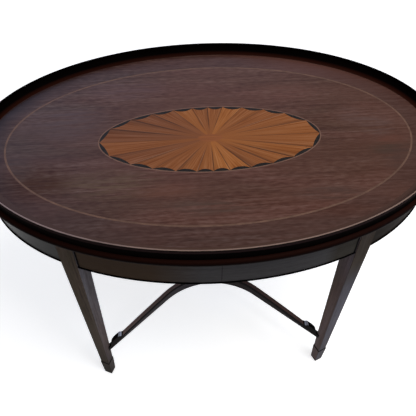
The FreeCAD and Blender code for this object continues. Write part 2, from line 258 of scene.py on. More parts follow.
def polished_veneer(name, tones, streaks, along, roughness, specular, overlay=None,
                    cloud_across=CLOUD_ACROSS, gloss=None):
    """Straight-grained mahogany with a rubbed polish."""
    material, tree, shader = finish(name)
    colour, lines, cloud = straight_grain(tree, tones, streaks, along, cloud_across)
    # Marks, wear, painted light and painted shade laid over the grain
    if overlay:
        colour = overlay(tree, colour)
    paint(tree, shader, colour)
    polish(shader, roughness, specular)
    rub = noise(tree, cloud, scale=RUB_SCALE, detail=4.0)
    plug(tree, shader.inputs["Roughness"],
         level(tree, rub, *RUB_SPREAD, roughness - RUB_SMOOTHER, roughness + RUB_ROUGHER))
    if gloss:
        plug(tree, shader.inputs["Specular IOR Level"], gloss(tree, specular))
    bump(tree, shader, lines, *GRAIN_RELIEF)
    return material


# Top: tones of the veneers, and the dark and pale tints of bands, streaks and flecks
FIELD_TONES = ((0.085, 0.034, 0.020), (0.103, 0.040, 0.026), (0.121, 0.047, 0.033))
BORDER_TONES = ((0.066, 0.030, 0.022), (0.077, 0.031, 0.022), (0.088, 0.033, 0.022))
TOP_STREAKS = (((0.81, 0.75, 0.70), (1.12, 1.17, 1.21)),
               ((0.68, 0.50, 0.41), (1.27, 1.50, 1.66)),
               ((0.66, 0.48, 0.39), (1.30, 1.54, 1.71)))
TOP_POLISH = (0.36, 0.42)

# The left end of the table, painted dimmer and cooler there as painted shade, as where less warm light falls
LEFT_END_STRETCH = (-0.08, -0.36)
LEFT_END_COOL_SHADE = (0.71, 0.83, 0.92)

# Joint between the two leaves of the field, open in places
LEAVES_JOINT = (0.0003, 0.0013)
LEAVES_OPEN_RUN = (11, 1, 1)
LEAVES_OPEN_SPREAD = (0.42, 0.62)
LEAVES_OPEN_STRENGTH = 0.45
LEAVES_OPEN_TONE = (0.170, 0.100, 0.085)

# Rubbed, stained and hazed patches of the field, with painted sheen in two of them: middle, half size, tone
# and strength of each
FIELD_MARKS_AND_SHEEN = (
    # Olive patch at the front left, partly a painted sheen
    ((-0.190, -0.108), (0.115, 0.042), (0.122, 0.072, 0.040), 0.85),
    ((-0.090, -0.128), (0.070, 0.022), (0.135, 0.050, 0.028), 0.60),
    ((-0.312, -0.102), (0.056, 0.026), (0.058, 0.020, 0.008), 0.90),
    ((-0.272, -0.118), (0.034, 0.016), (0.056, 0.020, 0.010), 0.75),
    ((-0.370, -0.060), (0.050, 0.040), (0.052, 0.032, 0.030), 0.60),
    # Bluish-grey patch at the back left, a painted sheen
    ((-0.274, 0.060), (0.085, 0.060), (0.084, 0.050, 0.052), 0.65),
    ((0.282, 0.044), (0.040, 0.034), (0.120, 0.066, 0.056), 0.45),
    ((0.330, 0.018), (0.042, 0.036), (0.132, 0.084, 0.076), 0.60),
    ((0.349, -0.025), (0.034, 0.014), (0.135, 0.044, 0.026), 0.70),
    ((0.330, -0.047), (0.040, 0.018), (0.054, 0.034, 0.022), 0.75),
    ((0.206, -0.150), (0.080, 0.024), (0.060, 0.030, 0.022), 0.60),
    ((0.365, -0.075), (0.060, 0.060), (0.060, 0.026, 0.018), 0.80),
    ((-0.010, -0.170), (0.110, 0.026), (0.074, 0.042, 0.030), 0.70),
    ((0.150, 0.125), (0.100, 0.036), (0.140, 0.054, 0.037), 0.60),
    ((-0.170, 0.150), (0.100, 0.040), (0.120, 0.062, 0.063), 0.60),
)
MARK_EDGE = (1.0, 0.4)
MARK_STREAK_RUN = (14, 150, 1)
MARK_STREAK_SPREAD = (0.34, 0.62)

# The stain at the front left has lost its gloss
STAIN_MIDDLE = (-0.325, -0.092)
STAIN_HALF_SIZE = (0.090, 0.060)
STAIN_GLOSS_SHARE = 0.55

# Border: darker beside the gallery, most at the back left, and a paler stretch behind on the right
RIM_DARKENING = (0.84, 0.94)
RIM_DARKENING_BACK = (-0.20, 0.05)
RIM_DARKENING_FRONT_SHARE = 0.2
RIM_DARKENING_STRENGTH = 0.9
RIM_DARKENING_TONE = (0.018, 0.007, 0.006)
PALE_STRETCH = (0.05, 0.18)
PALE_STRENGTH = 0.6
PALE_TONE = (0.120, 0.046, 0.035)


def field_marks_and_light(tree, colour):
    """A left end painted dimmer and cooler, the joint between the two leaves, then rubbed, stained and hazed
    patches, two with painted sheen.
    """
    x, depth, _ = coordinates(tree)
    # Painted shade: the left end dimmer and cooler
    colour = tinted(tree, colour, LEFT_END_COOL_SHADE, level(tree, x, *LEFT_END_STRETCH))
    joint = level(tree, apart(tree, depth), *LEAVES_JOINT, 1.0, 0.0)
    opened = level(tree, noise(tree, stretched(tree, LEAVES_OPEN_RUN), detail=3.0), *LEAVES_OPEN_SPREAD)
    colour = mixed(tree, times(tree, joint, opened, LEAVES_OPEN_STRENGTH), colour, LEAVES_OPEN_TONE)
    streaky = level(tree, noise(tree, stretched(tree, MARK_STREAK_RUN), detail=3.0), *MARK_STREAK_SPREAD)
    for middle, half_size, tone, strength in FIELD_MARKS_AND_SHEEN:
        patch = level(tree, oval_radius(tree, half_size, middle), *MARK_EDGE)
        colour = mixed(tree, times(tree, patch, streaky, strength), colour, tone)
    return colour


def border_marks(tree, colour):
    """Darker along the gallery at the back left, and a paler stretch behind on the right."""
    x, depth, _ = coordinates(tree)
    near_rim = level(tree, oval_radius(tree, RIM_HALF_SIZE), *RIM_DARKENING)
    toward_back = level(tree, depth, *RIM_DARKENING_BACK, RIM_DARKENING_FRONT_SHARE, 1.0)
    darker = times(tree, near_rim, level(tree, x, *LEFT_END_STRETCH), toward_back, RIM_DARKENING_STRENGTH)
    colour = mixed(tree, darker, colour, RIM_DARKENING_TONE)
    pale = times(tree, level(tree, x, *PALE_STRETCH), level(tree, depth, *PALE_STRETCH), PALE_STRENGTH)
    return mixed(tree, pale, colour, PALE_TONE)


def stain_gloss(tree, specular):
    """Gloss of the top, weaker on the stain at the front left."""
    stain = level(tree, oval_radius(tree, STAIN_HALF_SIZE, STAIN_MIDDLE), *MARK_EDGE)
    return level(tree, stain, 0.0, 1.0, specular, specular * STAIN_GLOSS_SHARE)


# Legs: places from left to right, how squarely a face looks forward or back, heights where the painted light
# changes
LEG_SIDES = (-0.1, 0.1)
FRONT_FACE = (0.5, 0.8)
LEG_COOL_RISE = (0.20, 0.40)
LEG_HEAD_RISE = (0.38, 0.47)

# Tints of the legs, on their sides and on the faces that look forward or back: painted light and reflection,
# lighter and bluer on some faces, darker and warmer on others
LEFT_LEG_SIDE_LOW = (1.30, 1.26, 1.24)
LEFT_LEG_SIDE_HIGH = (1.20, 1.36, 1.50)
LEFT_LEG_FACE = (0.77, 0.72, 0.55)
RIGHT_LEG_SIDE = (1.56, 1.46, 1.48)
RIGHT_LEG_SIDE_HEAD = (2.25, 2.35, 2.80)
RIGHT_LEG_FACE = (1.09, 1.30, 1.62)
RIGHT_LEG_FACE_HEAD = (0.70, 0.62, 0.46)

# Painted shade on the legs, toward the foot, under the head, at the sole and in the groove of the collar:
# heights, and the share of light left on the left and right legs
FOOT_SHADE_RISE = (0.02, 0.18)
FOOT_SHARES = (0.30, 0.84)
HEAD_SHADE_RISE = (0.28, 0.50)
HEAD_SHARES = (1.0, 0.54)
SOLE_SHADE = (0.001, 0.009)
SOLE_SHARE = 0.15
COLLAR_HEIGHT = 0.062
COLLAR_LINE = (0.0014, 0.0034)
COLLAR_STRENGTH = 0.9
COLLAR_SHADE_TONE = (0.004, 0.003, 0.003)


def leg_light_and_shade(tree, colour):
    """Painted light and reflection, tinted face by face; painted shade toward the foot and under the head,
    at the collar and at the sole.
    """
    x, _, height = coordinates(tree)
    right_leg = level(tree, x, *LEG_SIDES)
    front_face = level(tree, maths(tree, "ABSOLUTE", facing(tree, "Y")), *FRONT_FACE)
    # Painted light and reflection, face by face
    left_side = mixed(tree, level(tree, height, *LEG_COOL_RISE), LEFT_LEG_SIDE_LOW, LEFT_LEG_SIDE_HIGH)
    left_light = mixed(tree, front_face, left_side, LEFT_LEG_FACE)
    near_head = level(tree, height, *LEG_HEAD_RISE)
    right_side = mixed(tree, near_head, RIGHT_LEG_SIDE, RIGHT_LEG_SIDE_HEAD)
    right_face = mixed(tree, near_head, RIGHT_LEG_FACE, RIGHT_LEG_FACE_HEAD)
    right_light = mixed(tree, front_face, right_side, right_face)
    colour = tinted(tree, colour, mixed(tree, right_leg, left_light, right_light))
    # Painted shade toward the foot, under the head and at the sole
    foot = level(tree, height, *FOOT_SHADE_RISE, level(tree, right_leg, 0.0, 1.0, *FOOT_SHARES), 1.0)
    head = level(tree, height, *HEAD_SHADE_RISE, 1.0, level(tree, right_leg, 0.0, 1.0, *HEAD_SHARES))
    sole = level(tree, height, *SOLE_SHADE, SOLE_SHARE, 1.0)
    colour = tinted(tree, colour, times(tree, foot, head, sole))
    # Painted shade in the groove of the collar
    collar = level(tree, apart(tree, height, COLLAR_HEIGHT), *COLLAR_LINE, 1.0, 0.0)
    return mixed(tree, times(tree, collar, COLLAR_STRENGTH), colour, COLLAR_SHADE_TONE)


# Bars of the stretcher: painted light and shade, a lighter left half and a darker right half, painted light
# on the upper faces of each half, and painted shade below the upper edge
BAR_HALVES = (-0.05, 0.05)
BAR_LEFT_LIGHT_TINT = (1.50, 1.50, 1.56)
BAR_RIGHT_SHADE_TINT = (0.86, 0.82, 0.82)
BAR_ARCH_RADIUS = 1.35
BAR_EDGE_SHADE_DEPTH = (0.0125, 0.0095)
BAR_EDGE_SHADE = (0.004, 0.002, 0.002)
BAR_UPPER_FACE = (0.75, 0.92)
BAR_LEFT_TOP_LIGHT = (0.200, 0.140, 0.130)
BAR_RIGHT_TOP_LIGHT = (0.105, 0.064, 0.060)

# Painted highlight on the inner slopes of the knobs at the ends of the bars, between two distances from the
# middle; the painted light on the upper faces fades out before the knobs
KNOB_START = 0.2220
KNOB_STOP = 0.2275
KNOB_EDGE = 0.001
KNOB_TOP_LIGHT_FADE = 0.004
KNOB_TILT = (0.2, 0.5)
KNOB_HIGHLIGHT_TONE = (0.48, 0.50, 0.60)


def bar_light_and_shade(tree, colour):
    """Painted lighter on the left half and darker on the right, painted shade under the arched upper edge,
    painted light on the upper faces, and a painted highlight on the knobs.
    """
    x, _, height = coordinates(tree)
    right_half = level(tree, x, *BAR_HALVES)
    # Painted light: the left half lighter, the right half darker
    colour = tinted(tree, colour, mixed(tree, right_half, BAR_LEFT_LIGHT_TINT, BAR_RIGHT_SHADE_TINT))
    arch_drop = maths(tree, "DIVIDE", times(tree, x, x), 2 * BAR_ARCH_RADIUS)
    below_crown = maths(tree, "SUBTRACT", BAR_CROWN, height)
    below_edge = maths(tree, "SUBTRACT", below_crown, arch_drop)
    # Painted shade below the arched upper edge
    colour = mixed(tree, level(tree, below_edge, *BAR_EDGE_SHADE_DEPTH), colour, BAR_EDGE_SHADE)
    upward = facing(tree, "Z")
    outward = apart(tree, x)
    off_knob = level(tree, outward, KNOB_START, KNOB_START - KNOB_TOP_LIGHT_FADE)
    # Painted light on the upper faces, fading out before the knobs
    lit_top = times(tree, level(tree, upward, *BAR_UPPER_FACE), off_knob)
    colour = mixed(tree, lit_top, colour, mixed(tree, right_half, BAR_LEFT_TOP_LIGHT, BAR_RIGHT_TOP_LIGHT))
    # Painted highlight on the inner slopes of the knobs
    knob_highlight = times(tree, level(tree, outward, KNOB_START - KNOB_EDGE, KNOB_START),
                  level(tree, outward, KNOB_STOP + KNOB_EDGE, KNOB_STOP),
                  level(tree, upward, *KNOB_TILT))
    return mixed(tree, knob_highlight, colour, KNOB_HIGHLIGHT_TONE)


# Frieze: a browner leaf on the left, the joint of the leaves, painted shade in the corner by the right leg,
# painted shadow lines beside the legs
BROWN_LEAF = (-0.03, -0.12)
BROWN_LEAF_STRENGTH = 0.85
BROWN_LEAF_TONE = (0.054, 0.031, 0.017)
LEAF_JOINT = 0.003
LEAF_JOINT_LINE = (0.0004, 0.0010)
LEAF_JOINT_STRENGTH = 0.5
LEAF_JOINT_TONE = (0.006, 0.005, 0.005)
FRIEZE_CORNER_SHADE = (0.190, 0.214)
FRIEZE_CORNER_SHADE_TINT = (0.60, 0.55, 0.44)
END_SHADOW_LINE = (FRIEZE_END - 0.0042, FRIEZE_END - 0.0030)
END_SHADOW_LINE_TONE = (0.003, 0.002, 0.002)


def frieze_leaves_and_shade(tree, colour):
    """A browner leaf at one end, the joint where the leaves meet, painted shade in the corner by the right
    leg, and black painted shadow lines beside the legs.
    """
    x, _, _ = coordinates(tree)
    brown = times(tree, level(tree, x, *BROWN_LEAF), BROWN_LEAF_STRENGTH)
    colour = mixed(tree, brown, colour, BROWN_LEAF_TONE)
    joint = level(tree, apart(tree, x, LEAF_JOINT), *LEAF_JOINT_LINE, 1.0, 0.0)
    colour = mixed(tree, times(tree, joint, LEAF_JOINT_STRENGTH), colour, LEAF_JOINT_TONE)
    # Painted shade in the corner by the right leg
    colour = tinted(tree, colour, FRIEZE_CORNER_SHADE_TINT, level(tree, x, *FRIEZE_CORNER_SHADE))
    # Painted shadow lines where the frieze meets the legs
    return mixed(tree, level(tree, apart(tree, x), *END_SHADOW_LINE), colour, END_SHADOW_LINE_TONE)


# Lines, black wood, carcase wood and screws: grain per metre, tones, roughness and gloss
INLAY_GRAIN = (60, 60, 60)
INLAY_DARK_SHARE = 0.72
INLAY_PALE_SHARE = 1.18
INLAY_POLISH = (0.4, 0.3)
STRINGING_TONE = (0.160, 0.086, 0.060)
FAN_STRING_TONE = (0.20, 0.105, 0.075)
EBONY_GRAIN = (140, 140, 30)
FAN_GROUND_TONES = ((0.010, 0.008, 0.007), (0.020, 0.016, 0.014))
FAN_GROUND_POLISH = (0.4, 0.25)
COCKBEAD_TONES = ((0.0006, 0.0005, 0.0005), (0.0016, 0.0013, 0.0013))
COCKBEAD_POLISH = (0.5, 0.004)
CARCASE_GRAIN = (4, 90, 90)
CARCASE_TONES = ((0.15, 0.085, 0.045), (0.25, 0.15, 0.085))
CARCASE_POLISH = (0.7, 0.3)
CARCASE_RELIEF = (0.15, 0.0005)
SCREW_SPOTS = (900, 900, 900)
SCREW_STOPS = (0.35, 0.7)
SCREW_TONES = ((0.16, 0.13, 0.11), (0.32, 0.30, 0.28))
SCREW_POLISH = (0.45, 0.5)


def plain_line(name, tone):
    """Thin pale inlay with short fibres and worn polish."""
    material, tree, shader = finish(name)
    grain = noise(tree, stretched(tree, INLAY_GRAIN), detail=4.0)
    dark = tuple(part * INLAY_DARK_SHARE for part in tone)
    pale = tuple(part * INLAY_PALE_SHARE for part in tone)
    paint(tree, shader, ramp(tree, grain, TWO_STOPS, (dark, pale)))
    polish(shader, *INLAY_POLISH)
    return material


def ebonised(name, tones, roughness, specular):
    material, tree, shader = finish(name)
    grain = noise(tree, stretched(tree, EBONY_GRAIN), detail=3.0)
    paint(tree, shader, ramp(tree, grain, TWO_STOPS, tones))
    polish(shader, roughness, specular)
    return material


def carcase_wood():
    material, tree, shader = finish("planed_carcase_wood")
    grain = noise(tree, stretched(tree, CARCASE_GRAIN), detail=4.0)
    paint(tree, shader, ramp(tree, grain, TWO_STOPS, CARCASE_TONES))
    polish(shader, *CARCASE_POLISH)
    bump(tree, shader, grain, *CARCASE_RELIEF)
    return material


def screw_steel():
    material, tree, shader = finish("dulled_screw_steel")
    spots = noise(tree, stretched(tree, SCREW_SPOTS), detail=3.0)
    paint(tree, shader, ramp(tree, spots, SCREW_STOPS, SCREW_TONES))
    shader.inputs["Metallic"].default_value = 1.0
    polish(shader, *SCREW_POLISH)
    return material


# Bead: its rubbed line lies above the nose, in shares of half the bead's height
BEAD_GRAIN = (9, 9, 160)
BEAD_TONES = ((0.0022, 0.0007, 0.0005), (0.0045, 0.0013, 0.0009))
BEAD_RUB_RISE_SHARE = 0.90
BEAD_RUB_REACH_SHARE = 0.55
BEAD_RUB_STRENGTH = 0.9
BEAD_RUB_TONE = (0.0150, 0.0042, 0.0028)
BEAD_POLISH = (0.5, 0.010)


def bead_finish():
    """Dark stained bead, rubbed red-brown above its nose."""
    material, tree, shader = finish("bead_mahogany")
    grain = noise(tree, stretched(tree, BEAD_GRAIN), detail=4.0)
    colour = ramp(tree, grain, TWO_STOPS, BEAD_TONES)
    _, _, height = coordinates(tree)
    middle = (BEAD_LOW + BEAD_HIGH) / 2
    reach = (BEAD_HIGH - BEAD_LOW) / 2
    off_rub = apart(tree, height, middle + reach * BEAD_RUB_RISE_SHARE)
    rub = level(tree, off_rub, 0.0, reach * BEAD_RUB_REACH_SHARE, 1.0, 0.0)
    colour = mixed(tree, times(tree, rub, BEAD_RUB_STRENGTH), colour, BEAD_RUB_TONE)
    paint(tree, shader, colour)
    polish(shader, *BEAD_POLISH)
    return material


# Gallery: shares of the rim's oval, heights over the tray and below the top edge, in metres
GALLERY_GRAIN = (9, 9, 90)
GALLERY_TONES = ((0.0008, 0.0005, 0.0005), (0.002, 0.0011, 0.0009))
GALLERY_POLISH = (0.55, 0.003)
GALLERY_INSIDE = (0.985, 0.978)
GALLERY_OUTSIDE = (0.994, 0.997)
GALLERY_FRONT = (0.0, -0.08)
COVE_RED_TOP = SURFACE + 0.0045
COVE_RED_FULL = SURFACE + 0.0012
COVE_RED = (0.020, 0.005, 0.003)
GALLERY_FOOT_BACK = SURFACE + 0.0010
GALLERY_FOOT_FRONT = SURFACE + 0.0080
GALLERY_FOOT_FADE = 0.0008
# Tones of the gallery's foot, on the left with a painted bluish sheen
GALLERY_FOOT_RIGHT = (0.086, 0.047, 0.038)
GALLERY_FOOT_LEFT_SHEEN = (0.078, 0.051, 0.052)
# A painted reddish sheen along the outside of the gallery, just below the top edge
SHEEN_LINE_HEIGHT = RIM_TOP - 0.006
SHEEN_LINE_WIDTH = (0.0022, 0.0040)
SHEEN_LINE_TONE = (0.020, 0.011, 0.011)
# A patchy painted highlight along the top edge at the front, more lavender on the left
EDGE_HIGHLIGHT = (RIM_TOP - 0.0010, RIM_TOP - 0.0004)
EDGE_HIGHLIGHT_GRAIN = (22, 22, 22)
EDGE_HIGHLIGHT_SPREAD = (0.2, 0.5)
EDGE_HIGHLIGHT_LEAST = 0.55
EDGE_HIGHLIGHT_RIGHT_TONE = (0.260, 0.175, 0.145)
EDGE_HIGHLIGHT_LEFT_TONE = (0.300, 0.225, 0.235)


def gallery_finish():
    """Near black outside and in the cove, brown at the foot with a painted bluish sheen on the left, a
    painted reddish sheen line outside below the top edge, and a patchy painted highlight along the front top
    edge.
    """
    material, tree, shader = finish("gallery_mahogany")
    grain = noise(tree, stretched(tree, GALLERY_GRAIN), detail=4.0)
    colour = ramp(tree, grain, TWO_STOPS, GALLERY_TONES)
    x, depth, height = coordinates(tree)
    left_end = level(tree, x, *LEFT_END_STRETCH)
    front = level(tree, depth, *GALLERY_FRONT)
    rim_share = oval_radius(tree, RIM_HALF_SIZE)
    inside = level(tree, rim_share, *GALLERY_INSIDE)
    red = level(tree, height, COVE_RED_TOP, COVE_RED_FULL)
    colour = mixed(tree, times(tree, red, inside), colour, COVE_RED)
    foot_top = level(tree, front, 0.0, 1.0, GALLERY_FOOT_BACK, GALLERY_FOOT_FRONT)
    foot = level(tree, maths(tree, "SUBTRACT", foot_top, height), 0.0, GALLERY_FOOT_FADE)
    foot_tone = mixed(tree, left_end, GALLERY_FOOT_RIGHT, GALLERY_FOOT_LEFT_SHEEN)
    colour = mixed(tree, times(tree, foot, inside), colour, foot_tone)
    near_line = level(tree, apart(tree, height, SHEEN_LINE_HEIGHT), *SHEEN_LINE_WIDTH, 1.0, 0.0)
    sheen_line = times(tree, level(tree, rim_share, *GALLERY_OUTSIDE), near_line)
    colour = mixed(tree, sheen_line, colour, SHEEN_LINE_TONE)
    edge = level(tree, height, *EDGE_HIGHLIGHT)
    patchy = noise(tree, stretched(tree, EDGE_HIGHLIGHT_GRAIN), detail=3.0)
    highlight_patches = level(tree, patchy, *EDGE_HIGHLIGHT_SPREAD, EDGE_HIGHLIGHT_LEAST, 1.0)
    highlight_tone = mixed(tree, left_end, EDGE_HIGHLIGHT_RIGHT_TONE, EDGE_HIGHLIGHT_LEFT_TONE)
    colour = mixed(tree, times(tree, edge, front, highlight_patches), colour, highlight_tone)
    paint(tree, shader, colour)
    polish(shader, *GALLERY_POLISH)
    return material


# Frame: tones of frieze, end panels, legs and bars, with the tints of bands, streaks and flecks
FRIEZE_TONES = ((0.053, 0.047, 0.047), (0.064, 0.058, 0.058), (0.074, 0.068, 0.068))
FRIEZE_POLISH = (0.45, 0.006)
# End panels: the frieze's veneer painted much darker as painted shade, the right one darker and browner
# still
POLISHED_END_SHADED_TONES = ((0.015, 0.013, 0.011), (0.018, 0.016, 0.014), (0.022, 0.020, 0.018))
POLISHED_END_POLISH = (0.28, 0.028)
DULLED_END_SHADED_TONES = ((0.012, 0.008, 0.005), (0.014, 0.009, 0.006), (0.016, 0.011, 0.008))
DULLED_END_POLISH = (0.40, 0.006)
LEG_TONES = ((0.076, 0.058, 0.050), (0.094, 0.069, 0.064), (0.108, 0.085, 0.084))
LEG_POLISH = (0.42, 0.008)
LEG_CLOUD_ACROSS = 34.0
BAR_TONES = ((0.038, 0.032, 0.033), (0.047, 0.040, 0.042), (0.057, 0.050, 0.053))
BAR_POLISH = (0.42, 0.012)
FAINT_STREAKS = (((0.90, 0.90, 0.90), (1.06, 1.06, 1.06)),
                 ((0.84, 0.84, 0.84), (1.12, 1.12, 1.12)),
                 ((0.90, 0.90, 0.90), (1.08, 1.08, 1.08)))
CLEAR_STREAKS = (((0.82, 0.82, 0.82), (1.10, 1.10, 1.10)),
                 ((0.70, 0.68, 0.68), (1.20, 1.19, 1.18)),
                 ((0.84, 0.83, 0.83), (1.12, 1.12, 1.12)))


def top_veneers():
    field = polished_veneer("field_mahogany", FIELD_TONES, TOP_STREAKS, LENGTHWISE, *TOP_POLISH,
                            overlay=field_marks_and_light, gloss=stain_gloss)
    border = polished_veneer("border_mahogany", BORDER_TONES, TOP_STREAKS, LENGTHWISE, *TOP_POLISH,
                             overlay=border_marks, gloss=stain_gloss)
    dress(field, "field_veneer")
    dress(border, "border_veneer")
    dress(plain_line("boxwood_line", STRINGING_TONE), "stringing_line")
    dress(plain_line("fan_boxwood_line", FAN_STRING_TONE), "fan_string")
    dress(ebonised("fan_ground_ebonised", FAN_GROUND_TONES, *FAN_GROUND_POLISH), "fan_ground")
    dress(gallery_finish(), "gallery_rim")
    dress(bead_finish(), "edge_bead")


def under_frame():
    frieze = polished_veneer("frieze_mahogany", FRIEZE_TONES, FAINT_STREAKS, LEVEL, *FRIEZE_POLISH,
                             overlay=frieze_leaves_and_shade)
    polished_shaded_end = polished_veneer("polished_shaded_frieze_end", POLISHED_END_SHADED_TONES, FAINT_STREAKS, LEVEL,
                                   *POLISHED_END_POLISH)
    dulled_shaded_end = polished_veneer("dulled_shaded_frieze_end", DULLED_END_SHADED_TONES, FAINT_STREAKS, LEVEL,
                                 *DULLED_END_POLISH)
    legs = polished_veneer("leg_mahogany", LEG_TONES, CLEAR_STREAKS, UPRIGHT, *LEG_POLISH,
                           overlay=leg_light_and_shade, cloud_across=LEG_CLOUD_ACROSS)
    bars = polished_veneer("stretcher_mahogany", BAR_TONES, CLEAR_STREAKS, LEVEL, *BAR_POLISH,
                           overlay=bar_light_and_shade)
    black = ebonised("cockbead_ebonised", COCKBEAD_TONES, *COCKBEAD_POLISH)
    carcase = carcase_wood()
    ends = {"left": polished_shaded_end, "right": dulled_shaded_end}
    for side in SIDES:
        dress(black, "cockbead_" + side)
        dress(ends.get(side, frieze), "frieze_veneer_" + side)
        dress(carcase, "rail_" + side)
    for corner in CORNERS:
        dress(legs, "leg_" + corner)
    dress(bars, "stretcher_front", "stretcher_back", "stretcher_block")
    dress(carcase, "top_panel", "bearer_left", "bearer_right", "glue_blocks")
    dress(screw_steel(), "top_screws", "stretcher_screws")


# Fan finish: across a flute 0 and 1 are its joints, along it 0 is the fan's middle and 1 its rim
FIBRE_SCALE = (13.0, 1.3, 1.0)
FIBRE_SHIFT = 37.0
FLUTE_STOPS = (0.0, 0.5, 1.0)
FLUTE_TONES = ((0.186, 0.067, 0.031), (0.270, 0.090, 0.027), (0.405, 0.141, 0.034))
FIGURE_STOPS = (0.3, 0.5, 0.7)
FIGURE_TINTS = ((0.64, 0.49, 0.28), PLAIN, (1.27, 1.54, 2.25))
FIGURE_ALONG = (0.20, 0.60)
FIGURE_LEAST = 0.40

# Joints of the flutes, sand shading beside some, and wax in a few
JOINT_WIDTH = (0.020, 0.066)
JOINT_WANDER_SCALE = 0.4
JOINT_WANDER_SPREAD = (0.32, 0.50)
JOINT_WANDER_LEAST = 0.15
JOINT_ALONG = (0.20, 0.45)
JOINT_STRENGTH = 0.80
JOINT_TONE = (0.030, 0.013, 0.010)
SHADE_WIDTH = (0.0, 0.55)
SHADE_CURVE = 1.6
SHADE_CHOICE = (0.30, 0.85)
SHADE_ALONG = (0.25, 0.65)
SHADE_STRENGTH = 0.55
SHADE_TONE = (0.040, 0.018, 0.013)
WAX_WIDTH = (0.010, 0.035)
WAX_CHOICE = (0.80, 0.86)
WAX_ALONG = (0.3, 0.5)
WAX_STRENGTH = 0.5
WAX_TONE = (0.36, 0.21, 0.14)

# The plain middle of the fan: half size in metres, soft edge, grain and tones
HEART_PATCH = (0.025, 0.0105)
HEART_EDGE = (0.85, 1.05)
HEART_GRAIN = (14, 420, 1)
HEART_TONES = ((0.240, 0.078, 0.028), (0.320, 0.104, 0.034))
FAN_POLISH = (0.4, 0.2)


def flute_attribute(tree, name):
    return add(tree, "ShaderNodeAttribute", attribute_name=name).outputs["Fac"]


def fan_shading():
    """Pale wood with grain along each flute, dark joints, and sand-scorched shading."""
    material, tree, shader = finish("sand_shaded_satinwood")
    uv = add(tree, "ShaderNodeUVMap", uv_map="flute").outputs["UV"]
    parts = add(tree, "ShaderNodeSeparateXYZ", {"Vector": uv})
    across, along = parts.outputs["X"], parts.outputs["Y"]
    tone = flute_attribute(tree, "flute_tone")
    seed = flute_attribute(tree, "flute_seed")
    shift = add(tree, "ShaderNodeCombineXYZ", {"Z": times(tree, seed, FIBRE_SHIFT)}).outputs["Vector"]
    fibres = add(tree, "ShaderNodeMapping", {"Vector": uv, "Scale": FIBRE_SCALE}).outputs["Vector"]
    place = add(tree, "ShaderNodeVectorMath", {0: fibres, 1: shift}, operation="ADD").outputs["Vector"]
    colour = ramp(tree, tone, FLUTE_STOPS, FLUTE_TONES)
    grain = noise(tree, place, detail=5.0, rough=0.62, warp=0.3)
    figure = ramp(tree, grain, FIGURE_STOPS, FIGURE_TINTS)
    colour = tinted(tree, colour, figure, level(tree, along, *FIGURE_ALONG, FIGURE_LEAST, 1.0))

    # A narrow joint, as wide at the heart as at the rim, that comes and goes along its length
    near_joint = level(tree, times(tree, across, along), *JOINT_WIDTH, 1.0, 0.0)
    wander = noise(tree, place, scale=JOINT_WANDER_SCALE, detail=2.0)
    kept = level(tree, wander, *JOINT_WANDER_SPREAD, JOINT_WANDER_LEAST, 1.0)
    joint = times(tree, near_joint, kept, level(tree, along, *JOINT_ALONG), JOINT_STRENGTH)
    colour = mixed(tree, joint, colour, JOINT_TONE)

    # Sand shading beside some of the joints
    beside = maths(tree, "POWER", level(tree, across, *SHADE_WIDTH, 1.0, 0.0), SHADE_CURVE)
    burnt = times(tree, beside, level(tree, seed, *SHADE_CHOICE), level(tree, along, *SHADE_ALONG))
    colour = mixed(tree, times(tree, burnt, SHADE_STRENGTH), colour, SHADE_TONE)

    # A few joints have opened and filled with pale wax
    far_side = maths(tree, "SUBTRACT", 1.0, across)
    waxed = times(tree, level(tree, times(tree, far_side, along), *WAX_WIDTH, 1.0, 0.0),
                  level(tree, seed, *WAX_CHOICE), level(tree, along, *WAX_ALONG), WAX_STRENGTH)
    colour = mixed(tree, waxed, colour, WAX_TONE)

    # The plain middle, with its grain along the table
    inside = level(tree, oval_radius(tree, HEART_PATCH), *HEART_EDGE, 1.0, 0.0)
    heart_grain = noise(tree, stretched(tree, HEART_GRAIN), detail=4.0)
    colour = mixed(tree, inside, colour, ramp(tree, heart_grain, TWO_STOPS, HEART_TONES))
    paint(tree, shader, colour)
    polish(shader, *FAN_POLISH)
    return material


# Fan flutes, in metres and shares of half the fan
FAN_JOINT_SHARES = (0.0, 0.143, 0.325, 0.525, 0.715, 0.905, 1.0)
FAN_HEART = (0.018, 0.006)
FAN_SCALLOP = 0.007
FLUTE_ROWS = 14
FLUTE_COLUMNS = 8
FLUTE_GRID_HALF = 0.5
HEART_ROWS_SHARE = 1 / FLUTE_ROWS
MERGE_REACH = 1e-6

# Tone of a flute: its least, more toward the front and back as a painted sheen that follows the grain's
# direction, more to the right, and uneven
TONE_LEAST = 0.15
TONE_RISE_SHEEN = 0.25
TONE_RIGHT = 0.14
TONE_UNEVEN = 0.50
TONE_START = 890
UNEVEN_STEP = 12.9898
UNEVEN_REACH = 43758.5453


def oval_point(half_size, share, side):
    return Vector((half_size[0] * share, side * half_size[1] * math.sqrt(1 - share * share), SURFACE))


def fan_joints():
    """Outer and inner ends of the joints between flutes, once round from the right tip."""
    quarter = tuple(reversed(FAN_JOINT_SHARES))
    half = quarter + tuple(-share for share in FAN_JOINT_SHARES[1:])
    stations = [(share, 1) for share in half] + [(-share, -1) for share in half[1:-1]]
    return [(oval_point(FAN_HALF_SIZE, share, side), oval_point(FAN_HEART, share, side))
            for share, side in stations]


def flute_end(near, far, across):
    """A point on the hollowed end of a flute, which dips evenly below the fan's oval."""
    chord = far - near
    inward = Vector((-chord.y, chord.x, 0)).normalized()
    middle = (near + far) / 2
    oval_share = math.hypot(middle.x / FAN_HALF_SIZE[0], middle.y / FAN_HALF_SIZE[1])
    bulge = -middle.dot(inward) * (1 / oval_share - 1)
    dip = (FAN_SCALLOP - bulge) * (1 - (2 * across - 1) ** 2)
    return near + chord * across + inward * dip


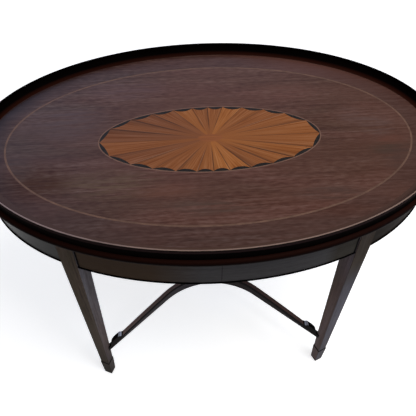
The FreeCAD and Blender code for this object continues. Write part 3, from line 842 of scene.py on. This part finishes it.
def flute_point(near, far, across, along):
    """From the middle of the fan to the heart's edge, then out to the hollowed end."""
    inner = near[1].lerp(far[1], across)
    if along <= HEART_ROWS_SHARE:
        return Vector((0, 0, SURFACE)).lerp(inner, along / HEART_ROWS_SHARE)
    outer = flute_end(near[0], far[0], across)
    return inner.lerp(outer, (along - HEART_ROWS_SHARE) / (1 - HEART_ROWS_SHARE))


def uneven(index):
    """A steady, uneven number from 0 to 1 for each flute."""
    return (math.sin(index * UNEVEN_STEP) * UNEVEN_REACH) % 1.0


def flute_tone(near, far, index):
    middle = (near[0] + far[0]) / 2
    rise = abs(middle.y) / math.hypot(middle.x, middle.y)
    to_right = math.copysign(1 - rise, middle.x)
    # More toward the front and back: a painted sheen that follows the grain
    return TONE_LEAST + TONE_RISE_SHEEN * rise + TONE_RIGHT * to_right + TONE_UNEVEN * uneven(index + TONE_START)


def add_flute(bm, near, far, index):
    """One flute from a grid, with its own map: across the flute and along it."""
    uv = bm.loops.layers.uv["flute"]
    tones = bm.verts.layers.float["flute_tone"]
    seeds = bm.verts.layers.float["flute_seed"]
    tone = flute_tone(near, far, index)
    grid = bmesh.ops.create_grid(bm, x_segments=FLUTE_COLUMNS, y_segments=FLUTE_ROWS,
                                 size=FLUTE_GRID_HALF)["verts"]
    for face in {face for vert in grid for face in vert.link_faces}:
        for loop in face.loops:
            loop[uv].uv = (loop.vert.co.x + FLUTE_GRID_HALF, loop.vert.co.y + FLUTE_GRID_HALF)
    for vert in grid:
        vert.co = flute_point(near, far, vert.co.x + FLUTE_GRID_HALF, vert.co.y + FLUTE_GRID_HALF)
        vert[tones] = tone
        vert[seeds] = uneven(index)
    bmesh.ops.remove_doubles(bm, verts=grid, dist=MERGE_REACH)


def fan_flutes():
    mesh = bpy.data.meshes.new("fan_flutes_shaded")
    piece = bpy.data.objects.new("fan_flutes_shaded", mesh)
    bpy.context.scene.collection.objects.link(piece)
    bm = bmesh.new()
    bm.loops.layers.uv.new("flute")
    bm.verts.layers.float.new("flute_tone")
    bm.verts.layers.float.new("flute_seed")
    joints = fan_joints()
    for index, near in enumerate(joints):
        add_flute(bm, near, joints[(index + 1) % len(joints)], index)
    bmesh.ops.recalc_face_normals(bm, faces=bm.faces)
    downward = [face for face in bm.faces if face.normal.z < 0]
    bmesh.ops.reverse_faces(bm, faces=downward)
    bm.to_mesh(mesh)
    bm.free()
    thickness = piece.modifiers.new("veneer", "SOLIDIFY")
    thickness.thickness = VENEER
    thickness.offset = -1
    mesh.materials.append(fan_shading())
    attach(piece, "root")
    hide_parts("fan_flutes")


# The studio, in metres: floor, wall all round, and its light
FLOOR_SIZE = 22.0
FLOOR_TONE = (0.9, 0.9, 0.9)
FLOOR_POLISH = (0.9, 0.1)
FLOOR_FADE = (1.5, 5.0)
FLOOR_GLOW = (0.66, 1.0)
WALL_RADIUS = 10.0
WALL_HEIGHT = 5.0
WALL_SEGMENTS = 96
WALL_GLOW = 1.0
SKY_TONE = (0.96, 0.98, 1.0)
SKY_STRENGTH = 0.2

# Soft lights: name, place, size, power and colour
LAMPS = (
    ("overhead", (1.2, -0.7, 3.3), (1.8, 1.8), 60, (1.0, 0.965, 0.91)),
    ("left_panel", (-2.4, 1.3, 1.2), (1.6, 1.4), 3.0, (1.0, 0.93, 0.80)),
    ("right_panel", (2.4, -1.6, 1.2), (1.6, 1.4), 12, (0.42, 0.66, 1.0)),
    ("back_panel", (-0.8, 2.6, 2.2), (4.0, 1.4), 11, (0.52, 0.62, 1.0)),
    ("left_sky", (-1.2, 1.9, 2.75), (1.3, 1.1), 2.5, (0.40, 0.58, 1.0)),
)

# The camera that took the photograph, in its 416-pixel square
PHOTO_PIXELS = 416
FOCAL_PIXELS = 576.9
CAMERA_PLACE = Vector((-0.0589, -0.7892, 1.4095))
CAMERA_PITCH = math.radians(52.038)
CAMERA_YAW = math.radians(-3.985)
CAMERA_ROLL = math.radians(-0.324)
SENSOR = 36.0


def seen_rays(tree):
    """1 where the camera, a reflection or clear glass looks at a surface, 0 for plain light."""
    rays = add(tree, "ShaderNodeLightPath").outputs
    seen = maths(tree, "MAXIMUM", rays["Is Camera Ray"], rays["Is Transmission Ray"])
    return maths(tree, "MAXIMUM", seen, rays["Is Glossy Ray"])


def clear_where(tree, factor, solid):
    """Let a stage surface through where the factor is 1."""
    clear = add(tree, "ShaderNodeBsdfTransparent").outputs["BSDF"]
    both = add(tree, "ShaderNodeMixShader", {0: factor, 1: solid, 2: clear}).outputs["Shader"]
    plug(tree, tree.nodes["Material Output"].inputs["Surface"], both)


def studio_floor():
    """Pale floor, seen as white, that keeps the table's shadow and is clear from below."""
    bpy.ops.mesh.primitive_plane_add(size=FLOOR_SIZE, location=(0, 0, cad_box[0][2]))
    floor = bpy.context.object
    floor.name = "studio_floor"
    material, tree, shader = finish("pale_floor")
    paint(tree, shader, FLOOR_TONE)
    plug(tree, shader.inputs["Emission Color"], PLAIN)
    polish(shader, *FLOOR_POLISH)
    glow = level(tree, oval_radius(tree, (1.0, 1.0)), *FLOOR_FADE, *FLOOR_GLOW)
    plug(tree, shader.inputs["Emission Strength"], times(tree, seen_rays(tree), glow))
    below = add(tree, "ShaderNodeNewGeometry").outputs["Backfacing"]
    clear_where(tree, below, shader.outputs["BSDF"])
    floor.data.materials.append(material)


def studio_backdrop():
    """White wall all round, far off, that lets plain light through."""
    mesh = bpy.data.meshes.new("studio_backdrop")
    wall = bpy.data.objects.new("studio_backdrop", mesh)
    bpy.context.scene.collection.objects.link(wall)
    bm = bmesh.new()
    bmesh.ops.create_cone(bm, segments=WALL_SEGMENTS, radius1=WALL_RADIUS, radius2=WALL_RADIUS,
                          depth=WALL_HEIGHT, matrix=Matrix.Translation((0, 0, WALL_HEIGHT / 2)))
    bm.to_mesh(mesh)
    bm.free()
    material, tree, _ = finish("white_backdrop")
    glow = add(tree, "ShaderNodeEmission", {"Strength": WALL_GLOW}).outputs["Emission"]
    clear_where(tree, maths(tree, "SUBTRACT", 1.0, seen_rays(tree)), glow)
    mesh.materials.append(material)


def soft_light(name, place, size, power, colour):
    """A rectangle of light, turned to the middle of the top."""
    data = bpy.data.lights.new(name, "AREA")
    data.shape = "RECTANGLE"
    data.size, data.size_y = size
    data.energy = power
    data.color = colour
    lamp = bpy.data.objects.new(name, data)
    lamp.location = place
    toward = Vector((0, 0, SURFACE)) - Vector(place)
    lamp.rotation_euler = toward.to_track_quat("-Z", "Y").to_euler()
    bpy.context.scene.collection.objects.link(lamp)


def studio_light():
    """Soft overhead light, a faint warm panel at the left, a cool one at the right, two cool ones behind."""
    world = bpy.data.worlds.new("studio")
    bpy.context.scene.world = world
    world.use_nodes = True
    background = world.node_tree.nodes["Background"]
    background.inputs["Color"].default_value = (*SKY_TONE, 1)
    background.inputs["Strength"].default_value = SKY_STRENGTH
    for lamp in LAMPS:
        soft_light(*lamp)


def photo_camera():
    data = bpy.data.cameras.new("photo_camera")
    data.sensor_width = SENSOR
    data.lens = FOCAL_PIXELS / PHOTO_PIXELS * SENSOR
    data.dof.use_dof = False
    right = Vector((math.cos(CAMERA_YAW), math.sin(CAMERA_YAW), 0))
    ahead = Vector((-math.sin(CAMERA_YAW), math.cos(CAMERA_YAW), 0))
    forward = ahead * math.cos(CAMERA_PITCH) + Vector((0, 0, -math.sin(CAMERA_PITCH)))
    down = -ahead * math.sin(CAMERA_PITCH) + Vector((0, 0, -math.cos(CAMERA_PITCH)))
    rolled_right = right * math.cos(CAMERA_ROLL) + down * math.sin(CAMERA_ROLL)
    rolled_up = right * math.sin(CAMERA_ROLL) - down * math.cos(CAMERA_ROLL)
    turn = Matrix((rolled_right, rolled_up, -forward)).transposed().to_4x4()
    camera = bpy.data.objects.new("photo_camera", data)
    camera.matrix_world = Matrix.Translation(CAMERA_PLACE) @ turn
    bpy.context.scene.collection.objects.link(camera)
    bpy.context.scene.camera = camera


top_veneers()
under_frame()
fan_flutes()
studio_floor()
studio_backdrop()
studio_light()
photo_camera()
bpy.context.scene.view_settings.view_transform = "Standard"
